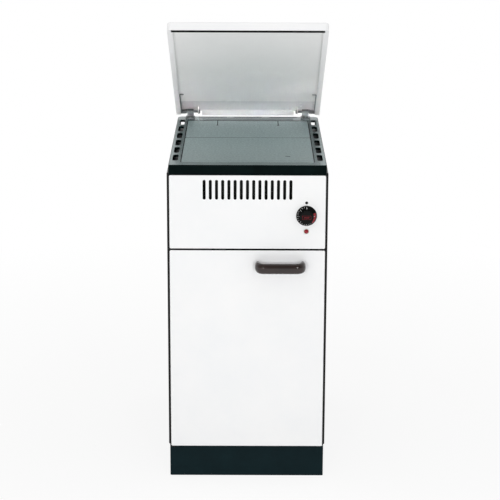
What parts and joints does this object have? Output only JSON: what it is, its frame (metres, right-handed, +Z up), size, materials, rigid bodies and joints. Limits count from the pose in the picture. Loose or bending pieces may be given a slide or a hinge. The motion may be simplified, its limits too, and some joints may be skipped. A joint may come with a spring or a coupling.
{
  "type": "oil-fired cookstove",
  "caption": "Narrow floor-standing oil-fired cookstove with a hinged lid over a flat hob, a hinged burner door, a control dial and a rear flue collar.",
  "frame": {"origin": "on the floor below the middle of the hob", "axes": "+X to the right seen from the front, +Y to the back, +Z up"},
  "size_m": [0.4, 0.6902, 1.1634],
  "materials": {
    "white_enamel": "gloss enamel",
    "front_enamel": "gloss enamel over a black ground coat",
    "grey_enamel": "satin enamel",
    "black_enamel": "gloss enamel",
    "plinth_paint": "satin paint",
    "hob_iron": "ground cast iron",
    "frame_iron": "enamelled cast iron",
    "zinc_steel": "zinc plated",
    "spring_steel": "oiled spring steel",
    "hinge_steel": "polished",
    "heat_paint": "matt heat-resistant paint",
    "tank_paint": "satin paint",
    "refractory": "pressed board",
    "sight_glass": "clear",
    "copper_pipe": "drawn tube",
    "die_cast": "as cast",
    "handle_brown": "gloss",
    "black_plastic": "gloss",
    "moulded_black": "matt",
    "nylon": "satin",
    "lamp_red": "translucent gloss",
    "seal_rubber": "matt"
  },
  "bodies": {
    "cabinet": {"plinth": "plinth_paint", "levelling_feet": "zinc_steel", "base_pan": "zinc_steel", "left_side_panel": "black_enamel", "right_side_panel": "black_enamel", "back_panel": "zinc_steel", "back_screws": "zinc_steel", "front_rail": "black_enamel", "hinge_tabs": "black_enamel", "door_pins": "zinc_steel", "hinge_washer": "nylon", "door_catch": "moulded_black", "fascia": "front_enamel", "heat_shield": "heat_paint", "thermostat": "moulded_black", "lamp_lens": "lamp_red", "lamp_holder": "moulded_black", "cooktop_frame": "frame_iron", "front_plate": "hob_iron", "rear_plate": "hob_iron", "hinge_lugs": "hinge_steel", "flue_box": "heat_paint", "support_rails": "zinc_steel", "combustion_chamber": "heat_paint", "chamber_lining": "refractory", "inspection_cover": "heat_paint", "sight_glass": "sight_glass", "wing_nuts": "zinc_steel", "burner_pot": "heat_paint", "burner_ring": "heat_paint", "air_jacket": "zinc_steel", "igniter": "zinc_steel", "flue_collar": "heat_paint", "mains_gland": "moulded_black", "oil_tank": "tank_paint", "tank_stands": "zinc_steel", "filler_neck": "tank_paint", "oil_regulator": "die_cast", "regulator_bracket": "zinc_steel", "feed_pipe": "copper_pipe", "burner_pipe": "copper_pipe"},
    "door": {"door_skin": "front_enamel", "door_liner": "grey_enamel", "door_handle": "handle_brown", "handle_screws": "zinc_steel", "door_bushes": "nylon", "door_strike": "zinc_steel"},
    "lid": {"lid_shell": "white_enamel", "lid_liner": "grey_enamel", "lid_seal": "seal_rubber", "lid_brackets": "white_enamel", "lid_pins": "hinge_steel", "lid_springs": "spring_steel"},
    "dial": {"control_dial": "black_plastic", "dial_spindle": "zinc_steel"},
    "cap": {"filler_cap": "moulded_black"}
  },
  "joints": [
    {"name": "lid_hinge", "type": "hinge", "parent": "cabinet", "child": "lid", "pos_m": [0, 0.293, 0.841], "axis": [-1, 0, 0], "range_deg": [-32, 63]},
    {"name": "door_hinge", "type": "hinge", "parent": "cabinet", "child": "door", "pos_m": [-0.1875, -0.292, 0.35], "axis": [0, 0, -1], "range_deg": [0, 110]},
    {"name": "dial_turn", "type": "hinge", "parent": "cabinet", "child": "dial", "pos_m": [0.146, -0.3, 0.6985], "axis": [0, 1, 0], "range_deg": [0, 270]},
    {"name": "cap_turn", "type": "hinge", "parent": "cabinet", "child": "cap", "pos_m": [0.1588, -0.185, 0.5], "axis": [0, 0, 1], "range_deg": [0, 90]}
  ]
}
